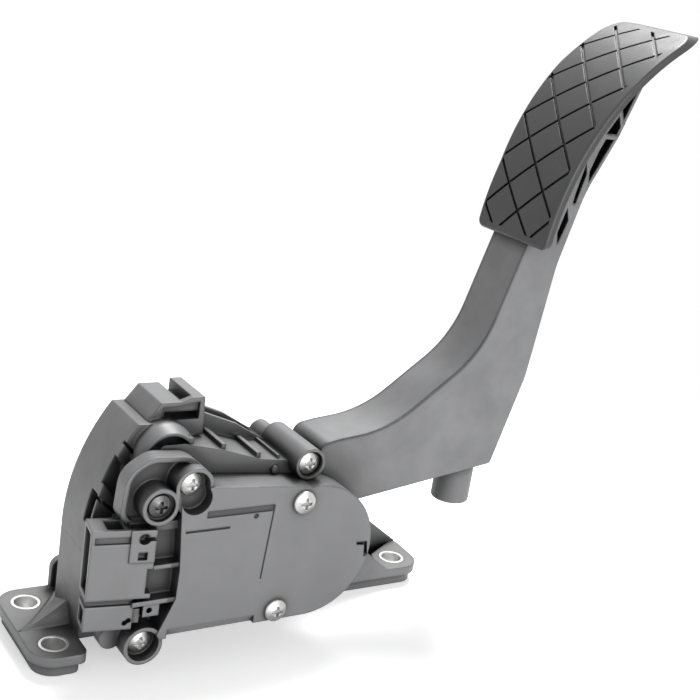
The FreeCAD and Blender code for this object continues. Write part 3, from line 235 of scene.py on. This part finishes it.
def plain_rubber(name, colour):
    """Dull rubber with an uneven tone."""
    material, tree, shader = new_material(name)
    bloom = noise(tree, scale=200, detail=3)
    tone = ramp(tree, bloom, [(0.3, tint(colour, 0.8)), (0.7, tint(colour, 1.25))])
    tree.links.new(tone, shader.inputs["Base Color"])
    shader.inputs["Roughness"].default_value = 0.75
    soft = rounded_normal(tree, radius=0.0003)
    grain_height = noise(tree, scale=3000, detail=2)
    grained = bump(tree, grain_height, distance=0.00005, strength=0.5, normal=soft)
    tree.links.new(grained, shader.inputs["Normal"])
    return material


def solder_mask(name):
    """Board laminate: green lacquer with faint tracks under it."""
    material, tree, shader = new_material(name)
    tracks = tree.nodes.new("ShaderNodeTexBrick")
    tracks.inputs["Scale"].default_value = 220
    tracks.inputs["Color1"].default_value = (0.02, 0.15, 0.06, 1)
    tracks.inputs["Color2"].default_value = (0.02, 0.17, 0.07, 1)
    tracks.inputs["Mortar"].default_value = (0.03, 0.24, 0.10, 1)
    coords = tree.nodes.new("ShaderNodeTexCoord")
    tree.links.new(coords.outputs["Object"], tracks.inputs["Vector"])
    tree.links.new(tracks.outputs["Color"], shader.inputs["Base Color"])
    shader.inputs["Roughness"].default_value = 0.3
    return material


# Painted shade in sunk places of the cover: lowest corner, highest corner, softness, darkest grey
COVER_LINES_PAINTED_SHADE = ((0.03, -0.0317, 0.02), (0.11, -0.0312, 0.065), 0.0001, 0.35)
# Painted shade on the recess floor beside the socket
SOCKET_RECESS_PAINTED_SHADE = ((0.0235, -0.0273, 0.029), (0.034, -0.0269, 0.052), 0.0012, 0.3)

PLASTIC_GREY = (0.165, 0.166, 0.17)
looks = {
    "pedal_housing": moulded_plastic(
        "housing_plastic",
        tint(PLASTIC_GREY, 0.88),
        roughness=0.48,
        grain=0.5,
        cloud=0.12,
        edge=0.0012,
    ),
    "sensor_cover": moulded_plastic(
        "cover_plastic",
        tint(PLASTIC_GREY, 0.92),
        roughness=0.42,
        grain=0.3,
        cloud=0.07,
        edge=0.001,
        # Painted shade in the cover's grooves and on the recess floor beside the socket
        painted_shade_boxes=(COVER_LINES_PAINTED_SHADE, SOCKET_RECESS_PAINTED_SHADE),
    ),
    "pedal_arm": moulded_plastic(
        "arm_plastic",
        PLASTIC_GREY,
        roughness=0.46,
        grain=0.45,
        cloud=0.16,
        edge=0.0014,
        shine=0.6,
        # Painted shade along the arm's upper edges
        edge_shade=0.02,
    ),
    "pedal_pad": moulded_plastic(
        "pad_plastic",
        tint(PLASTIC_GREY, 0.25),
        roughness=0.42,
        grain=0.5,
        cloud=0.1,
        edge=0.0005,
        shine=0.5,
    ),
    "travel_stop_stub": moulded_plastic(
        "stub_plastic",
        tint(PLASTIC_GREY, 0.8),
        roughness=0.5,
        grain=0.4,
        cloud=0.12,
        edge=0.0005,
    ),
    "idle_stop_buffer": plain_rubber("buffer_rubber", (0.03, 0.03, 0.03)),
    "cover_seal": plain_rubber("seal_rubber", (0.02, 0.02, 0.02)),
    "circuit_board": solder_mask("board_laminate"),
    "connector_pins": plated_steel("pin_metal", (0.8, 0.68, 0.4), roughness=0.25),
    "sensor_rotor": plated_steel("rotor_metal", (0.72, 0.72, 0.73), roughness=0.3),
    "pivot_shaft": plated_steel("shaft_steel", (0.62, 0.62, 0.62), roughness=0.22, stretch=(1, 30, 1)),
    "cover_screw_outer_left": plated_steel("dark_screw_steel", (0.12, 0.12, 0.12), roughness=0.34),
}
screw_look = plated_steel("screw_steel", (0.57, 0.57, 0.56), roughness=0.36)
sleeve_look = plated_steel("sleeve_steel", (0.75, 0.75, 0.74), roughness=0.34, stretch=(1, 1, 30))
spring_look = plated_steel("spring_steel", (0.35, 0.35, 0.36), roughness=0.35)
bush_look = moulded_plastic(
    "bush_polymer",
    (0.62, 0.6, 0.52),
    roughness=0.4,
    grain=0.2,
    cloud=0.05,
    edge=0.0003,
)
for name in nodes:
    if "screw" in name:
        looks.setdefault(name, screw_look)
    elif "sleeve" in name:
        looks[name] = sleeve_look
    elif "return_spring" in name:
        looks[name] = spring_look
    elif name in ("pivot_bush_near", "pivot_bush_far", "friction_shoe", "spring_seat"):
        looks[name] = bush_look
for name, look in looks.items():
    mesh = nodes[name].data
    mesh.materials.clear()
    mesh.materials.append(look)


def make_shortening_spring(name):
    """Copy of a return spring with a mesh of its own, fixed to the housing in place of the hidden original.
    """
    coil = bpy.data.objects.new(f"{name}_coil", nodes[name].data.copy())
    bpy.context.scene.collection.objects.link(coil)
    coil.matrix_world = nodes[name].matrix_world.copy()
    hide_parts(name)
    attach(coil, "housing")
    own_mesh(coil)


# Pieces modelled here, in millimetres
def add_corner(mesh, x, y, z):
    """Corner of a mesh from millimetres."""
    return mesh.verts.new((x / 1000, y / 1000, z / 1000))


def new_piece(name, mesh, look):
    """Object from a closed mesh, its faces turned outwards."""
    bmesh.ops.recalc_face_normals(mesh, faces=mesh.faces)
    data = bpy.data.meshes.new(name)
    mesh.to_mesh(data)
    mesh.free()
    data.materials.append(look)
    piece = bpy.data.objects.new(name, data)
    bpy.context.scene.collection.objects.link(piece)
    return piece


# Rear wall of the pad's ribbed backing: its outer line as (x, z, corner radius)
BACKING_REAR = [(206.9, 206.0, 0), (206.2, 204.5, 4), (198.6, 184, 30), (188, 163, 40), (184.2, 148, 0)]
BACKING_NEAR_Y = -16.95
BACKING_FAR_Y = 2.95
BACKING_WALL = 1.3
BACKING_SINK = 0.05


def rounded_line(corners, steps=8):
    """Points in X-Z along a line whose inner corners are rounded by (x, z, radius)."""
    points = [Vector(corners[0][:2])]
    for before, corner, after in zip(corners, corners[1:], corners[2:]):
        middle = Vector(corner[:2])
        back = (Vector(before[:2]) - middle).normalized()
        ahead = (Vector(after[:2]) - middle).normalized()
        half = back.angle(ahead) / 2
        reach = corner[2] / math.tan(half)
        start, end = middle + back * reach, middle + ahead * reach
        for i in range(steps + 1):
            t = i / steps
            points.append(start * (1 - t) ** 2 + middle * 2 * t * (1 - t) + end * t**2)
    points.append(Vector(corners[-1][:2]))
    return points


def make_backing_wall():
    """Thin wall that closes the pockets of the pad's backing at the rear."""
    line = rounded_line(BACKING_REAR)
    last = len(line) - 1
    mesh = bmesh.new()
    rings = []
    for i, point in enumerate(line):
        along = line[min(i + 1, last)] - line[max(i - 1, 0)]
        inwards = Vector((along.y, -along.x)).normalized()
        if inwards.x > 0:
            inwards = -inwards
        outer = point + inwards * BACKING_SINK
        inner = point + inwards * BACKING_WALL
        ring = [
            add_corner(mesh, outer.x, BACKING_NEAR_Y, outer.y),
            add_corner(mesh, outer.x, BACKING_FAR_Y, outer.y),
            add_corner(mesh, inner.x, BACKING_FAR_Y, inner.y),
            add_corner(mesh, inner.x, BACKING_NEAR_Y, inner.y),
        ]
        rings.append(ring)
    for first, second in zip(rings, rings[1:]):
        for i in range(4):
            mesh.faces.new((first[i], first[(i + 1) % 4], second[(i + 1) % 4], second[i]))
    mesh.faces.new(rings[0][::-1])
    mesh.faces.new(rings[-1])
    wall = new_piece("backing_wall", mesh, looks["pedal_arm"])
    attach(wall, "pedal")


# Flare on the left foot, which runs from its tip at t = 0 to the back wall at t = 1.
# The foot's top is at 7.5, and the flare starts a little under it.
FOOT_TOP_Z = 7.45
FLARE_TIP_X = -8.4
FLARE_WALL_X = 11.0
FLARE_TIP_Y = -3.6
FLARE_RIDGE_TURN = 3.0
FLARE_HEIGHT = 8.5
FLARE_EDGE = 0.1
FLARE_FAR_WIDTH = 18.3
FLARE_FAR_START = 0.4
FLARE_NEAR_WIDTH = 3.2
FLARE_NEAR_START = 0.8
FLARE_SINK = 0.2

# Powers that curve the flare: its ridge, its far edge and the same edge read the other way, and its two sides
RIDGE_CURVE = 1.5
FAR_EDGE_CURVE = 1.2
FAR_CREASE_CURVE = 0.83
FAR_SIDE_CURVE = 0.6
NEAR_SIDE_CURVE = 1.3


def far_side_height(t, s):
    """Height between the far crease, s = 0, and the ridge, s = 1: a fillet that grows out of the foot."""
    crease = t * (1 - s) ** FAR_CREASE_CURVE
    left_to_wall = max(1 - crease, 0.01)
    run = (t - crease) / left_to_wall
    return FLARE_EDGE * s + FLARE_HEIGHT * (1 - crease) ** FAR_SIDE_CURVE * run**RIDGE_CURVE


def make_foot_gusset():
    """Low flare from the back wall across the left foot, hollowed on both sides."""
    steps = 16
    rows = 7
    mesh = bmesh.new()
    columns = []
    for i in range(steps + 1):
        t = i / steps
        x = FLARE_TIP_X + (FLARE_WALL_X - FLARE_TIP_X) * t
        ridge_y = FLARE_TIP_Y + FLARE_RIDGE_TURN * t
        far_y = ridge_y + FLARE_FAR_START + FLARE_FAR_WIDTH * t**FAR_EDGE_CURVE
        near_y = ridge_y - FLARE_NEAR_START - FLARE_NEAR_WIDTH * t
        ridge_height = FLARE_EDGE + FLARE_HEIGHT * t**RIDGE_CURVE
        column = [add_corner(mesh, x, ridge_y, FOOT_TOP_Z - FLARE_SINK)]
        for j in range(rows + 1):
            s = j / rows
            y = far_y + (ridge_y - far_y) * s
            column.append(add_corner(mesh, x, y, FOOT_TOP_Z + far_side_height(t, s)))
        for j in range(1, rows + 1):
            s = j / rows
            y = ridge_y + (near_y - ridge_y) * s
            rise = ridge_height * (1 - s) ** NEAR_SIDE_CURVE
            column.append(add_corner(mesh, x, y, FOOT_TOP_Z + rise))
        columns.append(column)
    for first, second in zip(columns, columns[1:]):
        for a, b, c, d in zip(first, first[1:], second[1:], second):
            mesh.faces.new((a, b, c, d))
        mesh.faces.new((first[-1], first[0], second[0], second[-1]))
    mesh.faces.new(columns[0])
    mesh.faces.new(columns[-1][::-1])
    gusset = new_piece("foot_gusset", mesh, looks["pedal_housing"])
    for face in gusset.data.polygons:
        face.use_smooth = len(face.vertices) == 4
    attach(gusset, "housing")


# Floor and light
FLOOR_CENTRE = (0.1, 0, -0.0002)
FLOOR_RADIUS = 3
FLOOR_GREY = 0.93
FLOOR_GLOW = 0.45
FLOOR_FADE = [(0.16, 0.0), (0.42, 1.0)]
ROOM_FILL = 0.33


def make_floor():
    """Pale floor that keeps the object's shadow and fades into the white background."""
    bpy.ops.mesh.primitive_circle_add(vertices=64, radius=FLOOR_RADIUS, fill_type="NGON")
    floor = bpy.context.object
    floor.location = FLOOR_CENTRE
    floor.name = "studio_floor"
    floor.visible_shadow = False
    material, tree, shader = new_material("floor_white")
    shader.inputs["Base Color"].default_value = (FLOOR_GREY, FLOOR_GREY, FLOOR_GREY, 1)
    shader.inputs["Roughness"].default_value = 0.9
    shader.inputs["Specular IOR Level"].default_value = 0.1
    coords = tree.nodes.new("ShaderNodeTexCoord")
    distance = tree.nodes.new("ShaderNodeVectorMath")
    distance.operation = "LENGTH"
    tree.links.new(coords.outputs["Object"], distance.inputs[0])
    fade = ramp(tree, distance.outputs["Value"], FLOOR_FADE)
    seen = tree.nodes.new("ShaderNodeLightPath").outputs["Is Camera Ray"]
    glow = tree.nodes.new("ShaderNodeEmission")
    tree.links.new(combine(tree, "MULTIPLY", seen, FLOOR_GLOW), glow.inputs["Strength"])
    lit = tree.nodes.new("ShaderNodeAddShader")
    tree.links.new(shader.outputs["BSDF"], lit.inputs[0])
    tree.links.new(glow.outputs["Emission"], lit.inputs[1])
    clear = tree.nodes.new("ShaderNodeBsdfTransparent")
    faded = combine(tree, "MULTIPLY", fade, seen)
    surface = mix_shaders(tree, faded, lit.outputs["Shader"], clear.outputs["BSDF"])
    tree.links.new(surface, tree.nodes["Material Output"].inputs["Surface"])
    floor.data.materials.append(material)


def area_light(name, location, target, size, power):
    """Square lamp that faces a target."""
    data = bpy.data.lights.new(name, "AREA")
    data.shape = "SQUARE"
    data.size = size
    data.energy = power
    light = bpy.data.objects.new(name, data)
    bpy.context.scene.collection.objects.link(light)
    light.location = location
    aim = Vector(target) - light.location
    light.rotation_euler = aim.to_track_quat("-Z", "Y").to_euler()


def make_world():
    """White room: seen and mirrored at full white, and a dim fill for the rest."""
    world = bpy.data.worlds.new("studio")
    world.use_nodes = True
    bpy.context.scene.world = world
    tree = world.node_tree
    fill = tree.nodes["Background"]
    fill.inputs["Color"].default_value = (1, 1, 1, 1)
    fill.inputs["Strength"].default_value = ROOM_FILL
    white = tree.nodes.new("ShaderNodeBackground")
    white.inputs["Color"].default_value = (1, 1, 1, 1)
    white.inputs["Strength"].default_value = 1.0
    path = tree.nodes.new("ShaderNodeLightPath")
    direct = combine(tree, "MAXIMUM", path.outputs["Is Camera Ray"], path.outputs["Is Glossy Ray"])
    surface = mix_shaders(tree, direct, fill.outputs["Background"], white.outputs["Background"])
    tree.links.new(surface, tree.nodes["World Output"].inputs["Surface"])


def make_camera():
    """Camera at the photograph's view, from the fit of its axes, place and focal length."""
    right = Vector((0.83976, -0.52239, 0.14837))
    up = Vector((0.03368, 0.32280, 0.94593))
    place = (-0.140713, -0.360797, 0.231525)
    data = bpy.data.cameras.new("photo_view")
    data.sensor_width = 36
    data.lens = 65.71
    data.clip_start = 0.01
    camera = bpy.data.objects.new("photo_view", data)
    bpy.context.scene.collection.objects.link(camera)
    turn = Matrix((right, up, right.cross(up).normalized())).transposed().to_4x4()
    camera.matrix_world = Matrix.Translation(place) @ turn
    bpy.context.scene.camera = camera


make_shortening_spring("return_spring_outer")
make_shortening_spring("return_spring_inner")
make_backing_wall()
make_foot_gusset()
make_floor()
make_world()
make_camera()
area_light("key", location=(0.5, 0.45, 1.1), target=(0.1, 0, 0.05), size=0.5, power=19)
area_light("front", location=(0.1, -1.15, 0.3), target=(0.1, 0, 0.08), size=0.8, power=10)
area_light("left", location=(-1.0, -0.2, 0.3), target=(0.05, 0, 0.08), size=0.8, power=0.8)
bpy.context.scene.view_settings.view_transform = "Standard"
